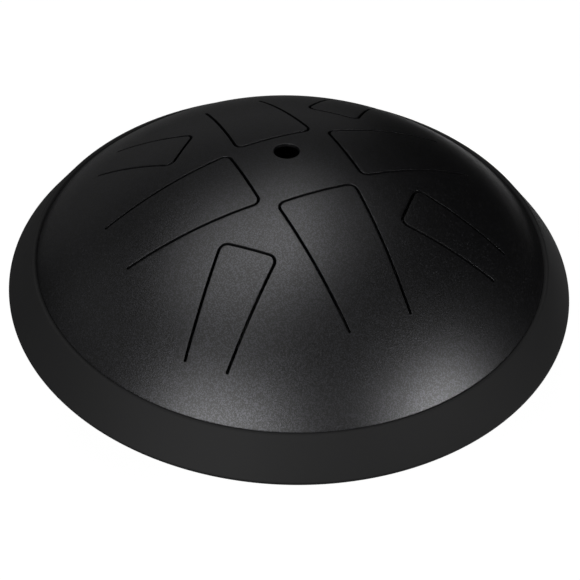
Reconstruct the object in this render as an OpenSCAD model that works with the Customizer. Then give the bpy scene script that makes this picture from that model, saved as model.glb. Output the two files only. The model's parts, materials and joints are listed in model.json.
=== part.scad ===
// Steel tongue drum: two pressed steel shells bonded at a flange, eight tongues cut into the
// upper one, a moulded rubber ring over the seam and four screwed rubber feet below.
// Millimetres, +Z up. The origin is under the middle of the drum, on the plane of its feet.
// The lowest note's tongue points towards -Y.

/* [Overall] */
// Diameter over the rubber rim ring
rim_d = 343; // [320:1:370]
// Radius of the ball that the upper and lower shells are pressed to, at their outer face
dome_r = 221.5; // [205:0.5:240]
// Thickness of the steel sheet
sheet_t = 2; // [1.5:0.1:2.5]

/* [Rim] */
// Width of the rim ring's sloping top face, seen from above
band_w = 18.5; // [16:0.1:24]
// Height of the dome's surface above the seam where the ring's lip lies on it
dome_edge_h = 19; // [16:0.5:22]
// How far the ring's lip stands above the dome's surface
lip_proud = 1.2; // [0.8:0.1:2]
// Rounding of the ring's lip
lip_round = 1.8; // [1:0.1:2.4]
// Rounding of the ring's outer edge
nose_round = 2; // [1:0.1:3]
// Rubber outside the flanges, at the seam
nose_wall = 3.5; // [3:0.1:5]
// How far outside the lip the shell turns down into its upright skirt
skirt_inset = 4.2; // [3:0.1:6]
// Outer radius of the knuckle between dome and skirt
knuckle_r = 5; // [3.5:0.1:6]
// Outer radius of the bend between skirt and flange
bend_r = 2.5; // [1.5:0.1:3]
// Thickness of the bonded gasket between the flanges
gasket_t = 1; // [0.6:0.1:1.6]
// Clearance between the rubber ring and the shells
ring_clear = 0.1; // [0.05:0.05:0.3]

/* [Tongues] */
// Width of the laser-cut slots round the tongues
slot_w = 1.7; // [1:0.1:2]
// Corner radius of a tongue's free end
tongue_corner_r = 3.6; // [2:0.1:5]
// Clearance across the root, where the tongue bends
root_clear = 0.1; // [0.1:0.05:0.2]
// Diameter of the vent hole in the crown
vent_d = 15.5; // [12:0.5:20]
// Distance of the vent hole from the middle of the crown
vent_offset = 10.5; // [0:0.5:12]

/* [Bottom shell] */
// Diameter of the flat base, inside the bend that leads to the bowl
base_flat_d = 180; // [160:1:184]
// Outer radius of the bend between the bowl and its flat base
base_bend_r = 12; // [8:1:16]
// Diameter of the sound port
port_d = 80; // [60:1:90]
// Height of the collar turned up round the sound port
collar_h = 10; // [7:0.5:14]
// Outer radius of the bend at the foot of the collar
collar_bend_r = 4; // [3:0.5:5]

/* [Feet] */
// Height of a foot
foot_h = 9; // [8:0.5:12]
// Diameter of a foot where it meets the shell
foot_top_d = 26; // [24:0.5:30]
// Diameter of a foot at the floor
foot_floor_d = 22; // [20:0.5:24]
// Bevel round a foot's floor edge
foot_bevel = 0.8; // [0.4:0.1:1.2]
// Thickness of rubber held under the screw's washer
foot_web = 3.6; // [3:0.1:4]
// Radial clearance of the recess round the washer
recess_clear = 0.6; // [0.4:0.1:1]

/* [Fasteners] */
// Screw diameter
screw_d = 4; // [3:0.5:5]
// Screw head diameter
head_d = 8; // [7.5:0.1:9]
// Screw head height
head_h = 2.4; // [2:0.1:2.8]
// Width of the cross cut in the screw head
drive_w = 1; // [0.8:0.1:1.2]
// Length of the cross cut in the screw head
drive_l = 4.4; // [3:0.1:5]
// Depth of the cross cut in the screw head
drive_h = 1.4; // [1:0.1:1.8]
// Length of screw that stands out of its nut
screw_tip = 1.5; // [0.5:0.1:3]
// Washer outer diameter
washer_d = 10; // [9:0.1:12]
// Washer thickness
washer_t = 0.8; // [0.6:0.1:1]
// Nut width across flats
nut_af = 7; // [6.8:0.1:8]
// Height of the nut's steel hexagon
nut_h = 3.2; // [2.5:0.1:4]
// Height of the nut's locking collar
lock_h = 1.8; // [1:0.1:2]
// Diameter of the nut's locking collar
lock_d = 6.4; // [6.2:0.1:6.6]
// Radial clearance of the screw in its holes
hole_clear = 0.25; // [0.2:0.05:0.5]
// Radial clearance of the screw in its nut and in the rubber
thread_clear = 0.05; // [0.05:0.01:0.1]

/* [Hidden] */

// Extra length of a cutting body past the faces that it cuts
overrun = 5;
// Segments of a full turn: the shells and rings, then the small parts, then the tongue corners
$fn = 240;
small_fn = 64;
corner_steps = 8;

// Colours, as the object shows them
powder_black = "#242426";
rubber_black = "#2b2b2d";
gasket_grey = "#3a3a3c";
zinc = "#b9bcc0";

// Radii at the rim, and the height of the upper flange above the seam
lip_r = rim_d / 2 - band_w;
skirt_r = lip_r + skirt_inset;
flange_r = rim_d / 2 - nose_wall;
flange_top = gasket_t / 2 + sheet_t;

// The ball's centre lies this far below the seam for the upper shell, and above it for the lower
ball_drop = sqrt(pow(dome_r, 2) - pow(lip_r, 2)) - dome_edge_h;
knuckle_c = skirt_r - knuckle_r;
knuckle_z = sqrt(pow(dome_r - knuckle_r, 2) - pow(knuckle_c, 2)) - ball_drop;
knuckle_a = asin(knuckle_c / (dome_r - knuckle_r));
bend_z = flange_top + bend_r;

// The flat base lies this far below the seam: the bend round it starts there and ends on the ball
base_flat_r = base_flat_d / 2;
base_depth = sqrt(pow(dome_r - base_bend_r, 2) - pow(base_flat_r, 2)) + base_bend_r - ball_drop;
base_bend_a = asin(base_flat_r / (dome_r - base_bend_r));
port_bend_r = port_d / 2 + collar_bend_r;

// Heights above the floor: the feet carry the base
seam_z = foot_h + base_depth;
crown_z = seam_z + dome_r - ball_drop;

// The four feet stand midway between the port and the edge of the flat base
foot_count = 4;
foot_turn = 45;
foot_place_r = (port_bend_r + base_flat_r) / 2;

// The stack that each foot screw goes through, from its head upwards
head_z = foot_h - foot_web - washer_t;
nut_washer_z = foot_h + sheet_t;
nut_z = nut_washer_z + washer_t;
screw_top = nut_z + nut_h + lock_h + screw_tip;

// Tongues, in the order of their notes from the lowest. Each row gives the azimuth in degrees,
// then shares of the lip's radius: the free end's distance from the middle and its half width,
// and the root's distance from the middle and its half width.
tongue_shares = [
    [ -90, 0.1937, 0.1523, 0.7247, 0.1149],
    [ 180, 0.2104, 0.1504, 0.7147, 0.1166],
    [   0, 0.2182, 0.1492, 0.7067, 0.1172],
    [  90, 0.1825, 0.1514, 0.5909, 0.1149],
    [-135, 0.4626, 0.1015, 0.8591, 0.0731],
    [ -45, 0.4607, 0.0995, 0.8242, 0.0778],
    [  45, 0.4619, 0.1013, 0.8045, 0.0778],
    [ 135, 0.4654, 0.1011, 0.7927, 0.0809]];

function tongue_azimuth(n) = tongue_shares[n - 1][0];
function tip_x(n) = tongue_shares[n - 1][1] * lip_r;
function tip_w(n) = tongue_shares[n - 1][2] * lip_r;
function root_x(n) = tongue_shares[n - 1][3] * lip_r;
function root_w(n) = tongue_shares[n - 1][4] * lip_r;

// Half outline of a tongue, or of its slot's outer edge when it is grown by the slot's width.
// The side leans in by taper towards the root, and the corner is an arc that meets both edges.
function corner_arc(x, y, r, taper) = [
    for (i = [0 : corner_steps])
        let (a = 90 - taper + i * (90 + taper) / corner_steps)
        [x + r * (1 + cos(a)), y - r * (1 + sin(taper)) / cos(taper) + r * sin(a)]];

function half_outline(n, grow, root_cut) =
    let (taper = atan((tip_w(n) - root_w(n)) / (root_x(n) - tip_x(n))))
    let (end_w = root_w(n) + root_cut * tan(taper))
    concat(
        [[root_x(n) - root_cut, end_w + grow / cos(taper)]],
        corner_arc(tip_x(n) - grow, tip_w(n) + grow, tongue_corner_r + grow, taper));

function mirrored(points) = [
    for (i = [len(points) - 1 : -1 : 0]) [points[i][0], -points[i][1]]];

module tongue_prism(n, grow, root_cut) {
    half = half_outline(n, grow, root_cut);
    rotate([0, 0, tongue_azimuth(n)])
        translate([0, 0, seam_z])
            linear_extrude(height = crown_z - seam_z + overrun)
                polygon(concat(half, mirrored(half)));
}

// Round ends of the slot's two legs, beside the root
module slot_ends(n) {
    rotate([0, 0, tongue_azimuth(n)])
        for (side = [-1, 1])
            translate([root_x(n), side * (root_w(n) + slot_w / 2), seam_z])
                cylinder(d = slot_w, h = crown_z - seam_z + overrun, $fn = small_fn);
}

// Every section below is drawn with the seam at height 0 and the shell above it; the bottom
// shell's is then turned over. A room is the region inside a face, and grow moves that face out.

// The ball's share of a room, between the angle a0 from the upright axis and the knuckle
module ball_room(grow, a0) {
    reach = (dome_r + overrun) / cos((knuckle_a - a0) / 2);
    am = (a0 + knuckle_a) / 2;
    translate([0, -ball_drop])
        intersection() {
            circle(r = dome_r + grow);
            polygon([
                [ball_drop * tan(a0), ball_drop],
                [ball_drop * tan(knuckle_a), ball_drop],
                [reach * sin(knuckle_a), reach * cos(knuckle_a)],
                [reach * sin(am), reach * cos(am)],
                [reach * sin(a0), reach * cos(a0)]]);
        }
}

// The knuckle's and the upright skirt's share
module skirt_room(grow) {
    translate([knuckle_c, knuckle_z])
        circle(r = knuckle_r + grow);
    square([skirt_r + grow, knuckle_z]);
}

module dome_room(grow) {
    ball_room(grow, 0);
    skirt_room(grow);
}

module bowl_room(grow) {
    ball_room(grow, base_bend_a);
    skirt_room(grow);
    translate([base_flat_r, base_depth - base_bend_r])
        circle(r = base_bend_r + grow);
    square([base_flat_r, base_depth + grow]);
}

// The flange and the bend that leads to it
module flange_room(grow) {
    square([flange_r + grow, flange_top + grow]);
    difference() {
        square([skirt_r + bend_r, bend_z]);
        translate([skirt_r + bend_r, bend_z])
            circle(r = bend_r - grow);
    }
}

// A shell's sheet: the outer room, given first, less the inner one, given second
module sheet_section() {
    difference() {
        union() {
            children(0);
            flange_room(0);
        }
        children(1);
        difference() {
            square([skirt_r + bend_r, bend_z]);
            translate([skirt_r + bend_r, bend_z])
                circle(r = bend_r + sheet_t);
        }
        square([rim_d, gasket_t / 2]);
    }
}

module top_section() {
    sheet_section() {
        dome_room(0);
        dome_room(-sheet_t);
    }
}

// The collar round the sound port, as the part of the base that stays solid, and its round foot
module collar_room() {
    translate([0, base_depth - collar_h])
        square([port_d / 2 + sheet_t, collar_h]);
    difference() {
        translate([port_d / 2, base_depth - collar_bend_r])
            square(collar_bend_r);
        translate([port_bend_r, base_depth - collar_bend_r])
            circle(r = collar_bend_r - sheet_t);
    }
}

module bottom_section() {
    difference() {
        sheet_section() {
            bowl_room(0);
            difference() {
                bowl_room(-sheet_t);
                collar_room();
            }
        }
        square([port_d / 2, base_depth + overrun]);
        difference() {
            translate([0, base_depth - collar_bend_r])
                square([port_bend_r, collar_bend_r + overrun]);
            translate([port_bend_r, base_depth - collar_bend_r])
                circle(r = collar_bend_r);
        }
    }
}

module dome_sheet() {
    translate([0, 0, seam_z])
        rotate_extrude()
            top_section();
}

module top_shell() {
    color(powder_black)
        difference() {
            dome_sheet();
            for (n = [1 : len(tongue_shares)]) {
                tongue_prism(n, slot_w, 0);
                slot_ends(n);
            }
            translate([0, vent_offset, seam_z])
                cylinder(d = vent_d, h = crown_z - seam_z + overrun, $fn = small_fn);
        }
}

module tongue(n) {
    color(powder_black)
        intersection() {
            dome_sheet();
            tongue_prism(n, 0, root_clear);
        }
}

module foot_places() {
    for (i = [0 : foot_count - 1])
        foot_place(i) children();
}

module foot_place(i) {
    rotate([0, 0, foot_turn + i * 360 / foot_count])
        translate([foot_place_r, 0, 0])
            children();
}

module bottom_shell() {
    color(powder_black)
        difference() {
            translate([0, 0, seam_z])
                rotate_extrude()
                    mirror([0, 1])
                        bottom_section();
            foot_places()
                translate([0, 0, foot_h - overrun])
                    cylinder(d = screw_d + 2 * hole_clear, h = sheet_t + 2 * overrun, $fn = small_fn);
        }
}

// Points of an arc about (x, y), between two angles from the upright axis, clockwise
function arc(x, y, r, a0, a1) = [
    for (i = [0 : corner_steps])
        let (a = a0 + i * (a1 - a0) / corner_steps)
        [x + r * sin(a), y + r * cos(a)]];

// Upper half of the rim ring: a round lip, a straight slope and a round outer edge
module ring_half() {
    lip_a = acos(max(0, 1 - lip_proud / lip_round));
    lip_x = lip_r + lip_round * sin(lip_a);
    lip_y = dome_edge_h + lip_proud - lip_round;
    nose_x = rim_d / 2 - nose_round;
    run = norm([nose_x - lip_x, lip_y]);
    lean = atan2(lip_y, nose_x - lip_x) - asin((nose_round - lip_round) / run);
    difference() {
        polygon(concat(
            [[lip_r, 0]],
            arc(lip_x, lip_y, lip_round, -lip_a, lean),
            arc(nose_x, 0, nose_round, lean, 90)));
        dome_room(ring_clear);
        flange_room(ring_clear);
    }
}

module rim_ring() {
    color(rubber_black)
        translate([0, 0, seam_z])
            rotate_extrude() {
                ring_half();
                mirror([0, 1])
                    ring_half();
            }
}

module seam_gasket() {
    color(gasket_grey)
        translate([0, 0, seam_z - gasket_t / 2])
            rotate_extrude()
                translate([skirt_r + bend_r, 0])
                    square([flange_r - skirt_r - bend_r, gasket_t]);
}

module foot(i) {
    color(rubber_black)
        foot_place(i)
            difference() {
                rotate_extrude($fn = small_fn)
                    polygon([
                        [0, 0],
                        [foot_floor_d / 2 - foot_bevel, 0],
                        [foot_floor_d / 2, foot_bevel],
                        [foot_top_d / 2, foot_h],
                        [0, foot_h]]);
                translate([0, 0, -overrun])
                    cylinder(d = washer_d + 2 * recess_clear, h = foot_h - foot_web + overrun,
                        $fn = small_fn);
                cylinder(d = screw_d + 2 * thread_clear, h = foot_h + overrun, $fn = small_fn);
            }
}

module foot_screws() {
    color(zinc)
        foot_places()
            difference() {
                union() {
                    translate([0, 0, head_z - head_h])
                        cylinder(d1 = head_d - head_h, d2 = head_d, h = head_h / 2,
                            $fn = small_fn);
                    translate([0, 0, head_z - head_h / 2])
                        cylinder(d = head_d, h = head_h / 2, $fn = small_fn);
                    translate([0, 0, head_z - head_h / 2])
                        cylinder(d = screw_d, h = screw_top - head_z + head_h / 2, $fn = small_fn);
                }
                for (turn = [0, 90])
                    rotate([0, 0, turn])
                        translate([-drive_l / 2, -drive_w / 2, head_z - head_h - overrun])
                            cube([drive_l, drive_w, drive_h + overrun]);
            }
}

module washer(z) {
    translate([0, 0, z])
        difference() {
            cylinder(d = washer_d, h = washer_t, $fn = small_fn);
            translate([0, 0, -overrun])
                cylinder(d = screw_d + 2 * hole_clear, h = washer_t + 2 * overrun, $fn = small_fn);
        }
}

module recess_washers() {
    color(zinc)
        foot_places()
            washer(head_z);
}

module nut_washers() {
    color(zinc)
        foot_places()
            washer(nut_washer_z);
}

module foot_nuts() {
    color(zinc)
        foot_places()
            translate([0, 0, nut_z])
                difference() {
                    union() {
                        cylinder(d = nut_af / cos(30), h = nut_h, $fn = 6);
                        cylinder(d = lock_d, h = nut_h + lock_h, $fn = small_fn);
                    }
                    translate([0, 0, -overrun])
                        cylinder(d = screw_d + 2 * thread_clear, h = nut_h + lock_h + 2 * overrun,
                            $fn = small_fn);
                }
}

top_shell();
tongue(1);  // tongue_1
tongue(2);  // tongue_2
tongue(3);  // tongue_3
tongue(4);  // tongue_4
tongue(5);  // tongue_5
tongue(6);  // tongue_6
tongue(7);  // tongue_7
tongue(8);  // tongue_8
rim_ring();
seam_gasket();
bottom_shell();
foot(0);  // foot_1
foot(1);  // foot_2
foot(2);  // foot_3
foot(3);  // foot_4
foot_screws();
recess_washers();
nut_washers();
foot_nuts();
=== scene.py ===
# %% [markdown]
# # A steel tongue drum
# The drum is two pressed steel shells joined at a flange. Eight tongues are cut into the upper
# shell, a rubber ring hides the seam, and four rubber feet carry the lower shell. The CAD model
# gives every size and place. This lesson gives each piece a finer surface and a finish, and lights
# the drum as a product photographer would: soft lamps on a black, slightly sparkling dome, on a
# white ground.

# %% Load the frame
import json
import math

import bmesh
import bpy
from mathutils import Matrix, Vector
from mathutils.kdtree import KDTree


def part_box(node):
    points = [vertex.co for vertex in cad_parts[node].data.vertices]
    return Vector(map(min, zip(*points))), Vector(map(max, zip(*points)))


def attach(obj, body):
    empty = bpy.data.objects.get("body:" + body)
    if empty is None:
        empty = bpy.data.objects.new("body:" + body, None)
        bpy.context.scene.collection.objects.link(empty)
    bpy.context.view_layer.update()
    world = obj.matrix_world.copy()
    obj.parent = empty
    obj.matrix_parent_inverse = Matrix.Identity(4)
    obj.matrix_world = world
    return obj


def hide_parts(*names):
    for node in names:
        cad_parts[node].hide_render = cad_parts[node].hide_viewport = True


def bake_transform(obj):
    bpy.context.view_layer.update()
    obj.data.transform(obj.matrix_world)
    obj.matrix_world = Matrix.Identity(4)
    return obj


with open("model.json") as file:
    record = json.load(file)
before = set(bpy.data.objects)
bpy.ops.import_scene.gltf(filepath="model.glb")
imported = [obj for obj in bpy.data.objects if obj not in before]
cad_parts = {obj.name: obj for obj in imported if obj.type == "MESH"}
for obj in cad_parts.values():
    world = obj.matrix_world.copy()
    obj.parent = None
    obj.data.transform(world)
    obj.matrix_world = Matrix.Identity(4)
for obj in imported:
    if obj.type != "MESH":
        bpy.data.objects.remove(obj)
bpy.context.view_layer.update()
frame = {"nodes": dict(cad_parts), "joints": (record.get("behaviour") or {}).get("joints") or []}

MM = 0.001

# %% [markdown]
# ## Measure the frame
# A piece that replaces a CAD node has to lie exactly where the node does. So the sizes are read
# from the nodes' own corners and vertices, and only what a box can't tell is typed, such as a bend
# radius.

# %% The rim's and the dome's sizes
ring_low, ring_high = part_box("rim_ring")
RIM_R = ring_high.x
SEAM_Z = (ring_low.z + ring_high.z) / 2
LIP_TOP = ring_high.z - SEAM_Z
CROWN_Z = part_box("top_shell")[1].z
FOOT_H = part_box("bottom_shell")[0].z
FLANGE_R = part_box("top_shell")[1].x
GASKET_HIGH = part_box("seam_gasket")[1].z - SEAM_Z

DOME_R = 221.5 * MM
SHEET = 2 * MM
LIP_R = 153 * MM
LIP_PROUD = 1.2 * MM
SKIRT_R = LIP_R + 4.2 * MM
KNUCKLE_R = 5 * MM
BEND_R = 2.5 * MM
BALL_DROP = SEAM_Z + DOME_R - CROWN_Z
print(f"rim {RIM_R / MM:.2f}, seam {SEAM_Z / MM:.2f}, crown {CROWN_Z / MM:.2f} mm")


def dome_height(x, y):
    """Height of the dome's outer face over the point (x, y)."""
    return SEAM_Z - BALL_DROP + math.sqrt(DOME_R**2 - x * x - y * y)


# %% [markdown]
# ## Small tools
# Every piece made here starts as a circle whose vertices are moved onto an outline. It is then
# spun round the drum's axis, or extruded ring by ring. These helpers hold those steps, so that
# each piece below is a short description of its outline.

# %% Selecting and shaping
MERGE = 0.002 * MM
SMOOTH_DEG = 40


def select_only(obj):
    """Deselects everything but one object, and makes it the active one."""
    bpy.ops.object.select_all(action="DESELECT")
    obj.select_set(True)
    bpy.context.view_layer.objects.active = obj


def outline_object(name, points):
    """A circle with one vertex for each point, shaped into that closed outline."""
    bpy.ops.object.select_all(action="DESELECT")
    bpy.ops.mesh.primitive_circle_add(vertices=len(points), radius=RIM_R, location=(0, 0, 0))
    obj = bpy.context.object
    obj.name = name
    obj.data.name = name
    for vertex, point in zip(obj.data.vertices, points):
        vertex.co = point
    return obj


def tidy_solid(obj):
    """Merges doubled vertices, drops what has no face, and turns every face outwards."""
    select_only(obj)
    bpy.ops.object.mode_set(mode="EDIT")
    bpy.ops.mesh.select_all(action="SELECT")
    bpy.ops.mesh.remove_doubles(threshold=MERGE)
    bpy.ops.mesh.delete_loose()
    bpy.ops.mesh.select_all(action="SELECT")
    bpy.ops.mesh.normals_make_consistent(inside=False)
    bpy.ops.object.mode_set(mode="OBJECT")


def spin_profile(name, profile, steps):
    """Spins a closed profile of (radius, height) points round the drum's axis."""
    obj = outline_object(name, [(r, 0, z) for r, z in profile])
    select_only(obj)
    bpy.ops.object.mode_set(mode="EDIT")
    bpy.ops.mesh.select_all(action="SELECT")
    bpy.ops.mesh.spin(steps=steps, angle=math.tau, center=(0, 0, 0), axis=(0, 0, 1))
    bpy.ops.object.mode_set(mode="OBJECT")
    tidy_solid(obj)
    return obj


def extrude_rings(name, rings):
    """Fills the first ring, extrudes it onto each further ring, and so closes a solid."""
    obj = outline_object(name, rings[0])
    select_only(obj)
    bpy.ops.object.mode_set(mode="EDIT")
    bpy.ops.mesh.select_all(action="SELECT")
    bpy.ops.mesh.edge_face_add()
    for before, after in zip(rings, rings[1:]):
        bpy.ops.mesh.extrude_region_move()
        places = KDTree(len(before))
        for index, point in enumerate(before):
            places.insert(point, index)
        places.balance()
        mesh = bmesh.from_edit_mesh(obj.data)
        for vertex in [v for v in mesh.verts if v.select]:
            vertex.co = after[places.find(vertex.co)[1]]
        bmesh.update_edit_mesh(obj.data)
    bpy.ops.object.mode_set(mode="OBJECT")
    tidy_solid(obj)
    return obj


def boolean(obj, tool, operation):
    """Cuts one closed solid with another, or keeps what they share, and deletes the tool."""
    select_only(obj)
    modifier = obj.modifiers.new("cut", "BOOLEAN")
    modifier.operation = operation
    modifier.solver = "MANIFOLD"
    modifier.object = tool
    bpy.ops.object.modifier_apply(modifier=modifier.name)
    bpy.data.objects.remove(tool)


def smooth(obj, angle_deg=SMOOTH_DEG):
    """Shades smoothly over every edge that is blunter than the angle."""
    select_only(obj)
    bpy.ops.object.shade_smooth_by_angle(angle=math.radians(angle_deg))
    obj.select_set(False)


def finish_piece(obj, material, body, nodes):
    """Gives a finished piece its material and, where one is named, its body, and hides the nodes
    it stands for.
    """
    obj.data.materials.clear()
    obj.data.materials.append(material)
    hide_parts(*nodes)
    if body:
        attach(obj, body)
    triangles = sum(len(p.vertices) - 2 for p in obj.data.polygons)
    print(f"{obj.name}: {triangles} triangles, for {', '.join(nodes)}")


def arc(cx, cz, radius, start_deg, end_deg, steps):
    """Points of an arc in a profile. Angles turn from the upright axis towards the outside."""
    turn = [start_deg + (end_deg - start_deg) * i / steps for i in range(steps + 1)]
    return [(cx + radius * math.sin(math.radians(a)), cz + radius * math.cos(math.radians(a)))
            for a in turn]


# %% [markdown]
# ## Finishes
# Every finish is a Principled shader fed by noise in Object coordinates, because each piece's
# object sits at the origin: a pattern then keeps its real size, and runs on from the shell to a
# tongue.

# %% Colour, nodes and a material's start
def colour(hex_code):
    """An sRGB hex colour as the linear values that Blender calculates with."""
    channels = [int(hex_code[i:i + 2], 16) / 255 for i in (1, 3, 5)]
    linear = [c / 12.92 if c <= 0.04045 else ((c + 0.055) / 1.055) ** 2.4 for c in channels]
    return (*linear, 1.0)


def add_node(tree, kind, settings=None, links=None):
    """Adds a node. Settings name its properties or its inputs, and links its linked inputs."""
    node = tree.nodes.new(kind)
    for key, value in (settings or {}).items():
        if hasattr(node, key):
            setattr(node, key, value)
        else:
            node.inputs[key].default_value = value
    for key, source in (links or {}).items():
        tree.links.new(source, node.inputs[key])
    return node


def new_material(name, settings):
    """A material with a Principled shader, and its node tree, Object coordinates and shader."""
    material = bpy.data.materials.new(name)
    material.use_nodes = True
    tree = material.node_tree
    shader = tree.nodes["Principled BSDF"]
    for key, value in settings.items():
        shader.inputs[key].default_value = value
    place = add_node(tree, "ShaderNodeTexCoord").outputs["Object"]
    return material, tree, place, shader


def per_metre(size_mm):
    """A noise texture's scale, for a pattern whose grains are about this many millimetres."""
    return 1 / (size_mm * MM)


def mixed_colour(tree, share, first, second):
    """A colour that runs from the first to the second as the linked share goes from 0 to 1."""
    mix = add_node(tree, "ShaderNodeMix", {"data_type": "RGBA"}, {"Factor": share})
    mix.inputs["A"].default_value = colour(first)
    mix.inputs["B"].default_value = colour(second)
    return mix.outputs["Result"]


# %% [markdown]
# ## Powder coat
# The steel is powder coated in satin black. Powder melts into a skin with a fine sand grain of
# about a third of a millimetre, and a faint, wider waviness that makers call orange peel. Fine
# metal flakes in the powder catch a lamp one by one, which gives a soft sparkle and no mirror
# image. A third of a millimetre is finer than a pixel of the picture, so grain and flakes are
# drawn about twice as coarse.

# %% Powder coat
GRAIN_MM = 0.8
GRAIN_DEPTH_MM = 0.07
GRAIN_FROM, GRAIN_TO = 0.3, 0.7
HOLLOW_ROUGH, PEAK_ROUGH = 0.42, 0.34
PEEL_MM = 3.5
PEEL_DEPTH_MM = 0.004
FLAKE_MM = 0.5
FLAKE_FROM, FLAKE_TO = 0.57, 0.6

powder_coat, tree, place, shader = new_material(
    "satin_powder_coat", {"IOR": 1.5, "Specular IOR Level": 0.8})
grain = add_node(tree, "ShaderNodeTexNoise", {"Scale": per_metre(GRAIN_MM), "Detail": 2.0,
                                              "Roughness": 0.6}, {"Vector": place})
peel = add_node(tree, "ShaderNodeTexNoise", {"Scale": per_metre(PEEL_MM), "Detail": 1.0},
                {"Vector": place})
peel_bump = add_node(tree, "ShaderNodeBump", {"Strength": 1.0, "Distance": PEEL_DEPTH_MM * MM},
                     {"Height": peel.outputs["Fac"]})
grain_bump = add_node(tree, "ShaderNodeBump", {"Strength": 1.0, "Distance": GRAIN_DEPTH_MM * MM},
                      {"Height": grain.outputs["Fac"], "Normal": peel_bump.outputs["Normal"]})
tree.links.new(grain_bump.outputs["Normal"], shader.inputs["Normal"])
rough = add_node(tree, "ShaderNodeMapRange", {
    "From Min": GRAIN_FROM, "From Max": GRAIN_TO, "To Min": HOLLOW_ROUGH, "To Max": PEAK_ROUGH},
    {"Value": grain.outputs["Fac"]})
tree.links.new(rough.outputs["Result"], shader.inputs["Roughness"])
cells = add_node(tree, "ShaderNodeTexVoronoi", {"Scale": per_metre(FLAKE_MM)}, {"Vector": place})
flake = add_node(tree, "ShaderNodeMapRange", {"From Min": FLAKE_FROM, "From Max": FLAKE_TO},
                 {"Value": cells.outputs["Color"]})
tree.links.new(flake.outputs["Result"], shader.inputs["Metallic"])
tint = mixed_colour(tree, flake.outputs["Result"], "#040405", "#57575a")
tree.links.new(tint, shader.inputs["Base Color"])
print("powder coat: grain", GRAIN_MM, "mm, flakes", FLAKE_MM, "mm, orange peel", PEEL_MM, "mm")

# %% [markdown]
# ## Moulded rubber
# The ring and the feet are moulded rubber. A blasted mould leaves a dull, even surface with a very
# fine grain, and handling leaves faint cloudy patches. Rubber is nearly black and scatters widely.

# %% Rubber
RUBBER_GLOSS = 0.33
CLOUD_MM = 40


def moulded_rubber(name, dark, light, roughness, grain_mm, depth_mm):
    """A dull rubber: a fine mould grain as bump, and faint clouds between two near colours."""
    material, tree, place, shader = new_material(
        name, {"Roughness": roughness, "IOR": 1.52, "Specular IOR Level": RUBBER_GLOSS})
    cloud = add_node(tree, "ShaderNodeTexNoise", {"Scale": per_metre(CLOUD_MM), "Detail": 3.0},
                     {"Vector": place})
    tint = mixed_colour(tree, cloud.outputs["Fac"], dark, light)
    tree.links.new(tint, shader.inputs["Base Color"])
    pores = add_node(tree, "ShaderNodeTexNoise", {"Scale": per_metre(grain_mm), "Detail": 2.0},
                     {"Vector": place})
    bump = add_node(tree, "ShaderNodeBump", {"Strength": 1.0, "Distance": depth_mm * MM},
                    {"Height": pores.outputs["Fac"]})
    tree.links.new(bump.outputs["Normal"], shader.inputs["Normal"])
    return material


rim_rubber = moulded_rubber("moulded_rim_rubber", "#161616", "#1a1a1b", 0.7, 0.8, 0.02)
foot_rubber = moulded_rubber("moulded_foot_rubber", "#232324", "#2a2a2b", 0.75, 0.8, 0.02)
gasket_rubber = moulded_rubber("bonded_gasket_rubber", "#353536", "#3d3d3f", 0.7, 0.6, 0.02)
print("rubbers:", rim_rubber.name, foot_rubber.name, gasket_rubber.name)

# %% [markdown]
# ## The dome's sheet
# The upper shell is pressed from 2 mm sheet: a ball's cap, a knuckle, an upright skirt and a
# flange. A lathe makes it: the section is drawn once as a closed profile and spun. Rings 3 mm
# apart keep the soft lamps' reflections free of flat spots.

# %% The shell's section
SPIN_STEPS = 360
RING_PITCH = 3 * MM
BEND_STEPS = 6
KNUCKLE_X = SKIRT_R - KNUCKLE_R
KNUCKLE_Z = math.sqrt((DOME_R - KNUCKLE_R) ** 2 - KNUCKLE_X**2) - BALL_DROP
KNUCKLE_DEG = math.degrees(math.asin(KNUCKLE_X / (DOME_R - KNUCKLE_R)))
FLANGE_TOP = GASKET_HIGH + SHEET
BEND_X, BEND_Z = SKIRT_R + BEND_R, FLANGE_TOP + BEND_R


def edge_arcs(grow):
    """A shell's knuckle and the bend below it, on a face that is grown outwards by a distance."""
    return (arc(KNUCKLE_X, KNUCKLE_Z, KNUCKLE_R + grow, KNUCKLE_DEG, 90, BEND_STEPS)
            + arc(BEND_X, BEND_Z, BEND_R - grow, -90, -180, BEND_STEPS))


def ball_arc(radius):
    """The ball's part of the upper section, from the axis to just before the knuckle."""
    steps = round(radius * math.radians(KNUCKLE_DEG) / RING_PITCH)
    return arc(0, -BALL_DROP, radius, 0, KNUCKLE_DEG, steps)[:-1]


def shell_section():
    """The upper shell's profile above the seam: the outer face outwards, then the inner back."""
    outer = ball_arc(DOME_R) + edge_arcs(0)
    outer += [(FLANGE_R, FLANGE_TOP), (FLANGE_R, GASKET_HIGH)]
    inner = ball_arc(DOME_R - SHEET) + edge_arcs(-SHEET)
    return [(r, SEAM_Z + z) for r, z in outer + inner[::-1]]


sheet = spin_profile("dome_shell", shell_section(), SPIN_STEPS)
print("sheet:", len(sheet.data.vertices), "vertices")

# %% [markdown]
# ## Where the tongues lie
# Each tongue is a long trapezoid that narrows towards its root, with rounded corners at its free
# end. The node's own vertices give the ends and widths. The joint's axis lies across the root, so
# it gives the tongue's direction. The slot is the band round the same outline, 1.7 mm wide.

# %% Tongue outlines
CORNER_R = 3.6 * MM
SLOT = 1.7 * MM
ROOT_GAP = 0.1 * MM
OUTLINE_PITCH = 2 * MM
CORNER_STEPS = 8
TONGUE_COUNT = 8


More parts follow.
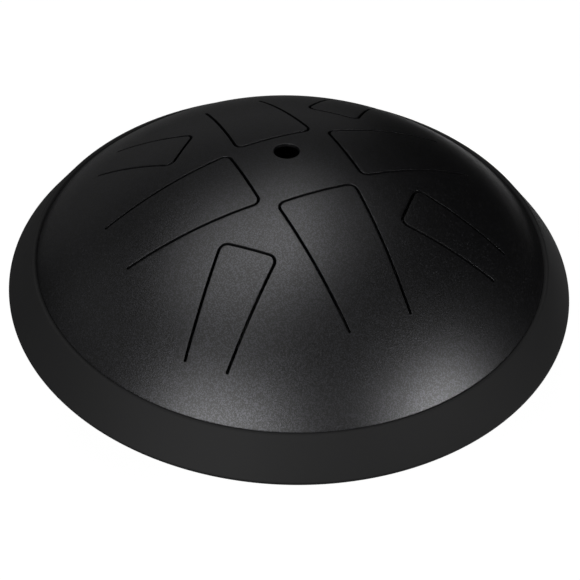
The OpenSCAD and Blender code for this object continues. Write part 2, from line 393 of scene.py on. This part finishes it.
def measure_tongue(number):
    """The tongue's direction, and its ends and half widths seen from above."""
    name = f"tongue_{number}"
    joint = next(j for j in frame["joints"] if j["child"] == name)
    across = Vector(joint["axis"])
    out = Vector((across.y, -across.x, 0))
    seen = [(v.co.dot(out), abs(v.co.dot(across))) for v in frame["nodes"][name].data.vertices]
    root = max(x for x, _ in seen)
    root_half = max(y for x, y in seen if x > root - MERGE)
    centre_x = min(x for x, _ in seen) + CORNER_R
    centre_y = max(y for _, y in seen) - CORNER_R
    run, rise = root - centre_x, root_half - centre_y
    lean = math.asin(CORNER_R / math.hypot(run, rise)) - math.atan2(rise, run)
    return {"name": name, "out": out, "across": across, "root": root + ROOT_GAP,
            "root_half": root_half, "corner": (centre_x, centre_y), "lean": lean,
            "hinge": Vector(joint["pos_m"])}


def corner(tongue, grow):
    """The rounded corner, from the side to the free end's edge, grown by a distance."""
    first = math.pi / 2 - tongue["lean"]
    turns = [first + (math.pi - first) * i / CORNER_STEPS for i in range(CORNER_STEPS + 1)]
    x, y = tongue["corner"]
    radius = CORNER_R + grow
    return [(x + radius * math.cos(t), y + radius * math.sin(t)) for t in turns]


def tongue_half(tongue, grow):
    """Half of a tongue's outline, from the root to the free end."""
    root_half = tongue["root_half"] + grow / math.cos(tongue["lean"])
    return [(tongue["root"], root_half)] + corner(tongue, grow)


def slot_half(tongue, grow):
    """Half of the cut in the shell: the leg's round end beside the root, then the outer edge."""
    leg_y = tongue["root_half"] + SLOT / 2
    radius = SLOT / 2 + grow
    turns = [math.pi * (i / CORNER_STEPS - 0.5) for i in range(CORNER_STEPS + 1)]
    leg_end = [(tongue["root"] + radius * math.cos(t), leg_y + radius * math.sin(t))
               for t in turns]
    return leg_end + corner(tongue, SLOT + grow)


def side_counts(points):
    """How many pieces of about the pitch's length each side of a closed outline needs."""
    sides = zip(points, points[1:] + points[:1])
    return [max(1, round(math.dist(a, b) / OUTLINE_PITCH)) for a, b in sides]


def subdivided(points, counts):
    """A closed outline with each side cut into its number of pieces."""
    dense = []
    for a, b, pieces in zip(points, points[1:] + points[:1], counts):
        dense += [tuple(p + (q - p) * i / pieces for p, q in zip(a, b)) for i in range(pieces)]
    return dense


def whole_outline(tongue, half):
    """Mirrors a half outline and turns it to the tongue's direction."""
    closed = half + [(x, -y) for x, y in reversed(half)]
    out, across = tongue["out"], tongue["across"]
    return [tuple(out * x + across * y) for x, y in closed]


tongues = [measure_tongue(number) for number in range(1, TONGUE_COUNT + 1)]
for t in tongues:
    print(t["name"], f"root at {t['root'] / MM:.1f} mm, leans {math.degrees(t['lean']):.2f} deg")

# %% [markdown]
# ## Cutting the slots
# A laser cuts a crisp slot, and the powder then runs over its edges and rounds them by about a
# tenth of a millimetre. That rounding is what shows as a fine light line beside a black slot. So
# each cutter is extruded ring by ring: straight up through the sheet, then flaring outwards just
# below the surface, so that one cut leaves the slot and its rounded edge.

# %% Cutters and keepers
EDGE_ROUND = 0.09 * MM
FLARE = [(0, -1), (0.134, -0.5), (0.5, -0.134), (2, 0.134)]
CUTTER_CLEAR = 5 * MM


def prism_through_dome(name, outline_at, direction):
    """An upright prism through the sheet. Its outline moves outwards (1) or inwards (-1) near the
    dome's surface. Each FLARE row gives a shift and a height, as shares of the rounding."""
    rings = [[(x, y, SEAM_Z) for x, y, _ in outline_at(0)]]
    for shift, height in FLARE:
        ring = outline_at(direction * shift * EDGE_ROUND)
        rings.append([(x, y, dome_height(x, y) + height * EDGE_ROUND) for x, y, _ in ring])
    rings.append([(x, y, CROWN_Z + CUTTER_CLEAR) for x, y, _ in rings[-1]])
    return extrude_rings(name, rings)


def growing_outline(tongue, half):
    """The outline of a tongue, or of its cut in the shell, as a function of how far it grows."""
    counts = side_counts(whole_outline(tongue, half(tongue, 0)))
    return lambda grow: subdivided(whole_outline(tongue, half(tongue, grow)), counts)


# %% [markdown]
# ## The vent hole
# A round hole pierces the crown, a little off its middle towards the back, and lets the air move.

# %% Vent hole cutter
VENT_R = 7.75 * MM
VENT_Y = 10.5 * MM
VENT_STEPS = 64


def vent_outline(grow):
    """The hole's circle, grown by a distance."""
    radius = VENT_R + grow
    turns = [math.tau * i / VENT_STEPS for i in range(VENT_STEPS)]
    return [(radius * math.cos(t), VENT_Y + radius * math.sin(t), 0) for t in turns]


# %% [markdown]
# ## Shell and tongues from one sheet
# The tongues are cut from the shell's own sheet, so a copy of the spun sheet is made for each
# tongue before the slots are cut. The shell loses the tongues, and each copy keeps only its
# tongue. Along the root the two meet on one straight line with nothing between them, and the
# surface runs on.


def copy_of(obj, name):
    """A second object with its own mesh."""
    twin = obj.copy()
    twin.data = obj.data.copy()
    twin.name = name
    twin.data.name = name
    bpy.context.scene.collection.objects.link(twin)
    return twin


for t in tongues:
    plate = copy_of(sheet, f"{t['name']}_plate")
    boolean(plate, prism_through_dome("keeper", growing_outline(t, tongue_half), -1), "INTERSECT")
    smooth(plate)
    finish_piece(plate, powder_coat, None, [t["name"]])
    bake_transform(plate)

# %% The upper shell
for t in tongues:
    cutter = prism_through_dome("slot_cutter", growing_outline(t, slot_half), 1)
    boolean(sheet, cutter, "DIFFERENCE")
boolean(sheet, prism_through_dome("vent_cutter", vent_outline, 1), "DIFFERENCE")
smooth(sheet)
finish_piece(sheet, powder_coat, "drum_body", ["top_shell"])

# %% [markdown]
# ## The rubber ring
# One thick rubber moulding grips both flanges. Its section is a round lip that stands proud on the
# dome, a straight slope, and a small round nose. The lower half mirrors the upper one. The cavity
# inside follows the shells a tenth of a millimetre away.

# %% Rim ring
LIP_ROUND = 1.8 * MM
NOSE_ROUND = 2 * MM
RING_CLEAR = 0.1 * MM
RIM_ROUND_STEPS = 10
LIP_FOOT_STEPS = 2


def mirrored(half):
    """The same points below the seam, in the other order."""
    return [(r, -z) for r, z in reversed(half)]


def ring_outside():
    """The upper half of the ring's outer face, from the lip's foot on the dome to the nose."""
    foot = math.acos(1 - LIP_PROUD / LIP_ROUND)
    start = math.degrees(math.acos(1 - (LIP_PROUD - 2 * RING_CLEAR) / LIP_ROUND))
    lip_x, lip_z = LIP_R + LIP_ROUND * math.sin(foot), LIP_TOP - LIP_ROUND
    nose_x = RIM_R - NOSE_ROUND
    run = math.hypot(nose_x - lip_x, lip_z)
    lean = math.atan2(lip_z, nose_x - lip_x) - math.asin((NOSE_ROUND - LIP_ROUND) / run)
    lean = math.degrees(lean)
    return (arc(lip_x, lip_z, LIP_ROUND, -start, lean, RIM_ROUND_STEPS)
            + arc(nose_x, 0, NOSE_ROUND, lean, 90, RIM_ROUND_STEPS))


def ring_inside():
    """The upper half of the ring's cavity, from the lip's foot on the dome to the flange."""
    ball = DOME_R + RING_CLEAR
    foot = math.degrees(math.asin(LIP_R / ball))
    return (arc(0, -BALL_DROP, ball, foot, KNUCKLE_DEG, LIP_FOOT_STEPS)[:-1]
            + edge_arcs(RING_CLEAR) + [(FLANGE_R + RING_CLEAR, FLANGE_TOP + RING_CLEAR)])


outer, inner = ring_outside(), ring_inside()
section = outer + mirrored(outer)[1:] + mirrored(inner)[::-1] + inner[::-1]
ring = spin_profile("rubber_rim_ring", [(r, SEAM_Z + z) for r, z in section], SPIN_STEPS)
smooth(ring)
finish_piece(ring, rim_rubber, "drum_body", ["rim_ring"])

# %% [markdown]
# ## The base
# The lower shell mirrors the upper one, but its crown is pressed flat to carry the feet. In the
# middle the sheet is drawn up into a collar round the sound port. A screw goes through at each
# foot.

# %% Bottom shell
BASE_FLAT_R = 90 * MM
BASE_BEND_R = 12 * MM
PORT_R = 40 * MM
COLLAR_H = 10 * MM
COLLAR_BEND_R = 4 * MM
COLLAR_EDGE = 0.4 * MM
SCREW_HOLE_R = 2.25 * MM
DRILL_LENGTH = 4 * SHEET
DRILL_STEPS = 32
BASE_DEPTH = SEAM_Z - FOOT_H
FOOT_COUNT = 4


def base_section():
    """The lower shell's profile: the outer face from the port outwards, then the inner back."""
    bend_deg = math.degrees(math.asin(BASE_FLAT_R / (DOME_R - BASE_BEND_R)))
    rings = round((DOME_R * math.radians(KNUCKLE_DEG - bend_deg)) / RING_PITCH)
    mouth = BASE_DEPTH - COLLAR_H

    def face(grow):
        """One face from the collar to the flange, as radius and depth, grown by a distance."""
        return (arc(PORT_R + COLLAR_BEND_R, BASE_DEPTH - COLLAR_BEND_R, COLLAR_BEND_R + grow,
                    -90, 0, BEND_STEPS)
                + arc(BASE_FLAT_R, BASE_DEPTH - BASE_BEND_R, BASE_BEND_R + grow,
                      0, bend_deg, BEND_STEPS)
                + arc(0, -BALL_DROP, DOME_R + grow, bend_deg, KNUCKLE_DEG, rings)[1:-1]
                + edge_arcs(grow))

    outer = [(PORT_R, mouth + COLLAR_EDGE)] + face(0)
    outer += [(FLANGE_R, FLANGE_TOP), (FLANGE_R, GASKET_HIGH)]
    inner = face(-SHEET)[::-1]
    inner += [(PORT_R + SHEET, mouth + COLLAR_EDGE), (PORT_R + SHEET - COLLAR_EDGE, mouth),
              (PORT_R + COLLAR_EDGE, mouth)]
    return [(r, SEAM_Z - z) for r, z in outer + inner]


def middle(node):
    """The upright axis through the middle of a node's box."""
    low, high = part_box(node)
    return (low + high) / 2 * Vector((1, 1, 0))


feet_at = [middle(f"foot_{number}") for number in range(1, FOOT_COUNT + 1)]
base = spin_profile("base_shell", base_section(), SPIN_STEPS)
for foot_place in feet_at:
    bpy.ops.object.select_all(action="DESELECT")
    bpy.ops.mesh.primitive_cylinder_add(vertices=DRILL_STEPS, radius=SCREW_HOLE_R,
                                        depth=DRILL_LENGTH,
                                        location=foot_place + Vector((0, 0, FOOT_H)))
    boolean(base, bpy.context.object, "DIFFERENCE")
smooth(base)
finish_piece(base, powder_coat, "drum_body", ["bottom_shell"])

# %% [markdown]
# ## Feet and their fasteners
# Each foot is a rubber button with a deep recess. A pan head screw sits on a washer in the recess,
# and a lock nut with a nylon collar holds it inside the drum. One of each is modelled on the
# drum's axis and copied to the four places, each copy with its own mesh.

# %% Copies at the four feet
def at_feet(obj, name):
    """Replaces a piece made on the drum's axis by one copy at each foot."""
    made = []
    for number, foot_place in enumerate(feet_at, 1):
        twin = copy_of(obj, f"{name}_{number}")
        twin.data.transform(Matrix.Translation(foot_place))
        made.append(twin)
    bpy.data.objects.remove(obj)
    return made


# %% Rubber feet
FOOT_TOP_R = 13 * MM
FOOT_FLOOR_R = 11 * MM
FOOT_ROUND = 0.8 * MM
RECESS_R = 5.6 * MM
WEB = 3.6 * MM
FOOT_HOLE_R = 2.05 * MM
FOOT_STEPS = 72
SMALL_ROUND_STEPS, FLOOR_ROUND_STEPS = 4, 5

wall_deg = math.degrees(math.atan2(FOOT_H, FOOT_TOP_R - FOOT_FLOOR_R))
small = FOOT_ROUND / 2
section = [(FOOT_HOLE_R, FOOT_H - WEB), (RECESS_R, FOOT_H - WEB)]
section += arc(RECESS_R + small, small, small, -90, -180, SMALL_ROUND_STEPS)
section += arc(FOOT_FLOOR_R - FOOT_ROUND, FOOT_ROUND, FOOT_ROUND, 180, 180 - wall_deg,
               FLOOR_ROUND_STEPS)
section += arc(FOOT_TOP_R - small, FOOT_H - small, small, 90, 0, SMALL_ROUND_STEPS)
section += [(FOOT_HOLE_R, FOOT_H)]
foot = spin_profile("foot", section, FOOT_STEPS)
smooth(foot)
for number, piece in enumerate(at_feet(foot, "rubber_foot"), 1):
    finish_piece(piece, foot_rubber, "drum_body", [f"foot_{number}"])

# %% [markdown]
# ## Zinc plated fasteners
# Zinc plating leaves steel bright with a soft, slightly bluish cast. It is never a mirror: the
# bath leaves a fine cloudiness, so the roughness wanders a little over each head.

# %% Zinc and nylon
ZINC_CLOUD_MM = 2.5
ZINC_BRIGHT, ZINC_DULL = 0.22, 0.42
NYLON_HAZE_MM = 1.5

zinc, tree, place, shader = new_material("zinc_plated_steel", {"Metallic": 1.0, "Roughness": 0.3})
cloud = add_node(tree, "ShaderNodeTexNoise", {"Scale": per_metre(ZINC_CLOUD_MM), "Detail": 4.0},
                 {"Vector": place})
tint = mixed_colour(tree, cloud.outputs["Fac"], "#b4b8be", "#cdcfd2")
tree.links.new(tint, shader.inputs["Base Color"])
dull = add_node(tree, "ShaderNodeMapRange", {"To Min": ZINC_BRIGHT, "To Max": ZINC_DULL},
                {"Value": cloud.outputs["Fac"]})
tree.links.new(dull.outputs["Result"], shader.inputs["Roughness"])

nylon, tree, place, shader = new_material("nylon_locking_ring", {"Roughness": 0.35, "IOR": 1.53})
haze = add_node(tree, "ShaderNodeTexNoise", {"Scale": per_metre(NYLON_HAZE_MM)}, {"Vector": place})
tint = mixed_colour(tree, haze.outputs["Fac"], "#2f4f96", "#3a5ca6")
tree.links.new(tint, shader.inputs["Base Color"])
print("fastener finishes:", zinc.name, nylon.name)

# %% [markdown]
# ## The screws
# A pan head M4 screw has a domed head with a cross recess, and a shank whose thread shows inside
# the drum above the nut. The thread is drawn as close rings at its real pitch of 0.7 mm, as deep
# as the real one, because nobody can tell rings from a helix on a screw this small.

# %% Foot screws
HEAD_R = 4 * MM
HEAD_H = 2.4 * MM
HEAD_CROWN = 1.2 * MM
HEAD_EDGE = 0.15 * MM
SHANK_R = 2 * MM
PITCH = 0.7 * MM
THREAD_DEPTH = 0.35 * MM
WASHER_T = 0.8 * MM
HEAD_TOP = FOOT_H - WEB - WASHER_T
HEAD_FACE = HEAD_TOP - HEAD_H
SCREW_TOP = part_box("foot_screws")[1].z
DRIVE_LENGTH, DRIVE_WIDTH, DRIVE_DEPTH = 4.4 * MM, 1 * MM, 1.4 * MM
DRIVE_TAPER = 0.6
SMALL_STEPS = 48
HEAD_ROUND_STEPS = 6
SCREW_SMOOTH_DEG = 35


def screw_section():
    """A screw's profile, from the middle of its head, which faces the floor, to its tip."""
    points = [(0, HEAD_FACE)]
    points += arc(HEAD_R - HEAD_CROWN, HEAD_FACE + HEAD_CROWN, HEAD_CROWN, 180, 90,
                  HEAD_ROUND_STEPS)
    points += [(HEAD_R, HEAD_TOP - HEAD_EDGE), (HEAD_R - HEAD_EDGE, HEAD_TOP), (SHANK_R, HEAD_TOP)]
    z = HEAD_TOP + 2 * PITCH
    while z < SCREW_TOP - 2 * PITCH:
        points += [(SHANK_R, z), (SHANK_R - THREAD_DEPTH, z + PITCH / 2)]
        z += PITCH
    return points + [(SHANK_R, z), (SHANK_R - THREAD_DEPTH, SCREW_TOP - PITCH / 2),
                     (SHANK_R - 2 * THREAD_DEPTH, SCREW_TOP), (0, SCREW_TOP)]


def cross_outline(share, z):
    """The cross recess's outline at a height, at a share of its full size."""
    long, wide = DRIVE_LENGTH / 2 * share, DRIVE_WIDTH / 2 * share
    arm = [(long, -wide), (long, wide), (wide, wide)]
    return [(x * c - y * s, x * s + y * c, z)
            for c, s in ((1, 0), (0, 1), (-1, 0), (0, -1)) for x, y in arm]


screw = spin_profile("screw", screw_section(), SMALL_STEPS)
drive = extrude_rings("drive", [cross_outline(1, HEAD_FACE - PITCH), cross_outline(1, HEAD_FACE),
                                cross_outline(DRIVE_TAPER, HEAD_FACE + DRIVE_DEPTH)])
boolean(screw, drive, "DIFFERENCE")
smooth(screw, SCREW_SMOOTH_DEG)
for piece in at_feet(screw, "foot_screw"):
    finish_piece(piece, zinc, "drum_body", ["foot_screws"])

# %% [markdown]
# ## Washers
# A punched washer has one rounded edge and one sharp one. Both rims of these are broken slightly.

# %% Washers
WASHER_R = 5 * MM
WASHER_HOLE_R = 2.25 * MM
WASHER_EDGE = 0.15 * MM
NUT_WASHER_Z = FOOT_H + SHEET
WASHER_SMOOTH_DEG = 30


def washer_section(z):
    """A washer's profile with broken edges, standing on a height."""
    top, edge = z + WASHER_T, WASHER_EDGE
    return [(WASHER_HOLE_R, z + edge), (WASHER_HOLE_R + edge, z), (WASHER_R - edge, z),
            (WASHER_R, z + edge), (WASHER_R, top - edge), (WASHER_R - edge, top),
            (WASHER_HOLE_R + edge, top), (WASHER_HOLE_R, top - edge)]


for name, z, node in (("recess_washer", HEAD_TOP, "recess_washers"),
                      ("nut_washer", NUT_WASHER_Z, "nut_washers")):
    washer = spin_profile("washer", washer_section(z), SMALL_STEPS)
    smooth(washer, WASHER_SMOOTH_DEG)
    for piece in at_feet(washer, name):
        finish_piece(piece, zinc, "drum_body", [node])

# %% [markdown]
# ## Lock nuts
# A lock nut is a hexagon whose corners are turned off in a cone, with a collar that holds a nylon
# ring. A lathe makes the round form first, and the hexagon is then cut from it.

# %% Lock nuts
HEX_TURN = math.radians(30)
NUT_R = 3.5 * MM / math.cos(HEX_TURN)
NUT_FACE_R = 3.4 * MM
NUT_Z = NUT_WASHER_Z + WASHER_T
NUT_H = 3.2 * MM
NUT_TOP = NUT_Z + NUT_H
HEX_LENGTH = 4 * NUT_H
LOCK_H = 1.8 * MM
LOCK_R = 3.2 * MM
LOCK_WALL = 0.5 * MM
NUT_HOLE_R = 2.05 * MM
NUT_CHAMFER = 0.35 * MM
LIP_IN = 0.6 * MM
LIP_IN_STEPS = 5
INSERT_SINK, INSERT_COVER = 0.2 * MM, 0.4 * MM
INSERT_R = LOCK_R - LOCK_WALL
INSERT_LOW = NUT_TOP - INSERT_SINK
INSERT_HIGH = NUT_TOP + LOCK_H - INSERT_COVER
NUT_SMOOTH_DEG = 25

section = [(INSERT_R, INSERT_LOW), (NUT_HOLE_R, INSERT_LOW), (NUT_HOLE_R, NUT_Z),
           (NUT_FACE_R, NUT_Z), (NUT_R, NUT_Z + NUT_CHAMFER), (NUT_R, NUT_TOP - NUT_CHAMFER),
           (NUT_FACE_R, NUT_TOP), (LOCK_R, NUT_TOP)]
section += arc(LOCK_R - LIP_IN, NUT_TOP + LOCK_H - LIP_IN, LIP_IN, 90, 0, LIP_IN_STEPS)
section += [(INSERT_R - LIP_IN / 2, NUT_TOP + LOCK_H), (INSERT_R - LIP_IN / 2, INSERT_HIGH),
            (INSERT_R, INSERT_HIGH)]
nut = spin_profile("nut", section, SMALL_STEPS)
bpy.ops.object.select_all(action="DESELECT")
bpy.ops.mesh.primitive_cylinder_add(vertices=6, radius=NUT_R, depth=HEX_LENGTH,
                                    location=(0, 0, NUT_TOP), rotation=(0, 0, HEX_TURN))
boolean(nut, bpy.context.object, "INTERSECT")
smooth(nut, NUT_SMOOTH_DEG)
for piece in at_feet(nut, "lock_nut"):
    finish_piece(piece, zinc, "drum_body", ["foot_nuts"])

# %% Nylon rings
NYLON_CLEAR = 0.02 * MM
NYLON_SMOOTH_DEG = 30

inside_r, outside_r = SHANK_R + NYLON_CLEAR, INSERT_R - NYLON_CLEAR
low_z, high_z = INSERT_LOW + NYLON_CLEAR, INSERT_HIGH - NYLON_CLEAR
section = [(inside_r, low_z), (outside_r, low_z), (outside_r, high_z), (inside_r, high_z)]
locking_ring = spin_profile("locking_ring", section, SMALL_STEPS)
smooth(locking_ring, NYLON_SMOOTH_DEG)
for piece in at_feet(locking_ring, "nylon_ring"):
    finish_piece(piece, nylon, "drum_body", ["foot_nuts"])

# %% [markdown]
# ## The seam's gasket
# A flat rubber ring is bonded between the two flanges. Its CAD solid already has the right shape,
# and only its rubber is given here.

# %% Gasket
gasket = frame["nodes"]["seam_gasket"]
for material_slot in gasket.material_slots:
    material_slot.material = gasket_rubber
print("gasket:", len(gasket.data.vertices), "vertices")

# %% [markdown]
# ## Camera
# The picture looks down on the drum from about 43 degrees, from about three quarters of a metre
# away, so that the tongues in front look longer than those behind. The camera is set up by its
# direction, distance and tilt, and a small step down centres the drum as in the picture.

# %% Camera
LENS_MM = 76.738
SENSOR_MM = 36
DISTANCE = 766.85 * MM
TURN_DEG = -26.341
RISE_DEG = 42.597
TILT_DEG = -2.25
STEP_LEFT = 0.154 * MM
STEP_DOWN = 15.5 * MM

turn, rise, tilt = (math.radians(a) for a in (TURN_DEG, RISE_DEG, TILT_DEG))
back = Vector((math.sin(turn) * math.cos(rise), -math.cos(turn) * math.cos(rise), math.sin(rise)))
level = Vector((math.cos(turn), math.sin(turn), 0))
upright = back.cross(level)
right = level * math.cos(tilt) - upright * math.sin(tilt)
up = level * math.sin(tilt) + upright * math.cos(tilt)
spot = Vector((0, 0, SEAM_Z)) + back * DISTANCE - right * STEP_LEFT - up * STEP_DOWN
camera = bpy.data.objects.new("camera", bpy.data.cameras.new("camera"))
camera.data.lens = LENS_MM
camera.data.sensor_width = SENSOR_MM
camera.matrix_world = Matrix.Translation(spot) @ Matrix((right, up, back)).transposed().to_4x4()
bpy.context.scene.collection.objects.link(camera)
bpy.context.scene.camera = camera
print("camera at", [round(v / MM) for v in spot], "mm")

# %% [markdown]
# ## Ground and world
# The picture's ground is pure white, with no edge, but the coat mirrors a dark room: its far rims
# would shine if the whole floor were lit. So the floor looks white to the camera, with a faint
# shadow kept from a little lit paint. A patch round the drum is white to reflections too, which
# lights the ring, and beyond it they see darker paint. The patch lies to the right of the drum's
# middle and the palest paint lies behind it, which gives each side of the ring its own lightness.
# Under the drum the floor is plain paint, in the drum's own shade. From below it vanishes, so that
# the underside can be seen.

# %% Floor
FLOOR_SIZE = 8.0
SHADE_FROM, SHADE_TO = 60 * MM, 90 * MM
NEAR_MIDDLE = (130 * MM, 10 * MM, 0)
PALE_MIDDLE = (-60 * MM, 200 * MM, 0)
NEAR_FROM, NEAR_TO = 220 * MM, 280 * MM
PALE_FROM, PALE_TO = 300 * MM, 550 * MM
GLOW = 0.96
PAINT_SHARE = 0.12
PALE_PAINT, DARK_PAINT = "#8c8c8c", "#303030"

bpy.ops.object.select_all(action="DESELECT")
bpy.ops.mesh.primitive_plane_add(size=FLOOR_SIZE, location=(0, 0, 0))
floor = bpy.context.object
floor.name = "floor"
ground = bpy.data.materials.new("white_ground")
ground.use_nodes = True
tree = ground.node_tree
tree.nodes.clear()


def calculate(tree, operation, first, second):
    """What a Math node makes of two linked values."""
    node = add_node(tree, "ShaderNodeMath", {"operation": operation})
    tree.links.new(first, node.inputs[0])
    tree.links.new(second, node.inputs[1])
    return node.outputs[0]


path = add_node(tree, "ShaderNodeLightPath").outputs
place = add_node(tree, "ShaderNodeTexCoord").outputs["Object"]


def ramp_from(middle, start, end):
    """A value that goes from 0 to 1 between two distances from a spot of the floor."""
    away = add_node(tree, "ShaderNodeVectorMath", {"operation": "DISTANCE"}, {"Vector": place})
    away.inputs[1].default_value = middle
    return add_node(tree, "ShaderNodeMapRange", {"From Min": start, "From Max": end},
                    {"Value": away.outputs["Value"]}).outputs["Result"]


unshaded = ramp_from((0, 0, 0), SHADE_FROM, SHADE_TO)
near = ramp_from(NEAR_MIDDLE, NEAR_TO, NEAR_FROM)
far = ramp_from(PALE_MIDDLE, PALE_FROM, PALE_TO)
mirrored_ray = calculate(tree, "MAXIMUM", path["Is Glossy Ray"], path["Is Transmission Ray"])
white_patch = calculate(tree, "MULTIPLY", mirrored_ray, near)
seen_white = calculate(tree, "MAXIMUM", path["Is Camera Ray"], white_patch)
shade = mixed_colour(tree, far, PALE_PAINT, DARK_PAINT)
paint = add_node(tree, "ShaderNodeBsdfDiffuse", None, {"Color": shade})
thin_paint = add_node(tree, "ShaderNodeBsdfDiffuse", {"Color": (PAINT_SHARE,) * 3 + (1.0,)})
glow = add_node(tree, "ShaderNodeEmission", {"Color": colour("#ffffff"), "Strength": GLOW})
white = add_node(tree, "ShaderNodeAddShader")
tree.links.new(thin_paint.outputs["BSDF"], white.inputs[0])
tree.links.new(glow.outputs["Emission"], white.inputs[1])
top = add_node(tree, "ShaderNodeMixShader", None,
               {"Fac": calculate(tree, "MULTIPLY", seen_white, unshaded)})
tree.links.new(paint.outputs["BSDF"], top.inputs[1])
tree.links.new(white.outputs["Shader"], top.inputs[2])
clear = add_node(tree, "ShaderNodeBsdfTransparent")
side = add_node(tree, "ShaderNodeNewGeometry")
either = add_node(tree, "ShaderNodeMixShader", None, {"Fac": side.outputs["Backfacing"]})
tree.links.new(top.outputs["Shader"], either.inputs[1])
tree.links.new(clear.outputs["BSDF"], either.inputs[2])
add_node(tree, "ShaderNodeOutputMaterial", None, {"Surface": either.outputs["Shader"]})
floor.data.materials.append(ground)
print("floor:", FLOOR_SIZE, "m")

# %% World
AMBIENT = 0.002

world = bpy.data.worlds.new("studio")
bpy.context.scene.world = world
world.use_nodes = True
tree = world.node_tree
tree.nodes.clear()
path = add_node(tree, "ShaderNodeLightPath").outputs
room = add_node(tree, "ShaderNodeBackground", {"Color": colour("#ffffff"), "Strength": AMBIENT})
white = add_node(tree, "ShaderNodeBackground", {"Color": colour("#ffffff"), "Strength": 1.0})
mix = add_node(tree, "ShaderNodeMixShader", None, {
    "Fac": calculate(tree, "MAXIMUM", path["Is Camera Ray"], path["Is Transmission Ray"])})
tree.links.new(room.outputs["Background"], mix.inputs[1])
tree.links.new(white.outputs["Background"], mix.inputs[2])
add_node(tree, "ShaderNodeOutputWorld", None, {"Surface": mix.outputs["Shader"]})
bpy.context.scene.view_settings.view_transform = "Standard"
print("world:", world.name)

# %% [markdown]
# ## Lamps
# Each pale cloud on the dome is the blurred mirror image of a soft box. So a box hangs where a
# line from the camera would bounce off that part of the dome, 1.6 m from the drum. Its brightness
# is that of its face, with white paper as 1, and the lamp's power follows from the face's area.
# Small bright boxes give narrow lights and wide dim ones give soft slopes, which is how a round
# black thing is given its form. A point lamp would be simpler, but it leaves one hard spot and a
# flat black dome.
#
# The overhead box, the back strip and the back fill light the crown. The front box and the right
# strip make the two bright patches of the near slope. The wall behind, on the left, and the fill
# on the left keep the dark side from going black.

# %% Lamps
LAMP_DISTANCE = 1.6


def soft_box(name, azimuth_deg, elevation_deg, width, height, brightness):
    """A soft box that faces the drum from a direction. Its brightness counts paper white as 1."""
    a, e = math.radians(azimuth_deg), math.radians(elevation_deg)
    towards = Vector((math.sin(a) * math.cos(e), -math.cos(a) * math.cos(e), math.sin(e)))
    lamp = bpy.data.lights.new(name, "AREA")
    lamp.shape = "RECTANGLE"
    lamp.size, lamp.size_y = width, height
    lamp.energy = brightness * math.pi * width * height
    holder = bpy.data.objects.new(name, lamp)
    holder.location = Vector((0, 0, SEAM_Z)) + towards * LAMP_DISTANCE
    holder.rotation_euler = towards.to_track_quat("Z", "Y").to_euler()
    bpy.context.scene.collection.objects.link(holder)


soft_box("overhead_box", -145, 73.4, 1.15, 1.0, 1.42)
soft_box("front_box", -51, 26.5, 1.0, 1.3, 3.7)
soft_box("right_strip", 33.5, 28.5, 0.72, 0.3, 10.6)
soft_box("back_strip", 152, 68, 0.25, 1.15, 1.84)
soft_box("back_fill", 120, 64, 0.5, 0.9, 0.2)
soft_box("left_wall", -183, 8, 2.2, 1.0, 0.12)
soft_box("left_fill", -123, 26, 0.95, 0.6, 0.19)
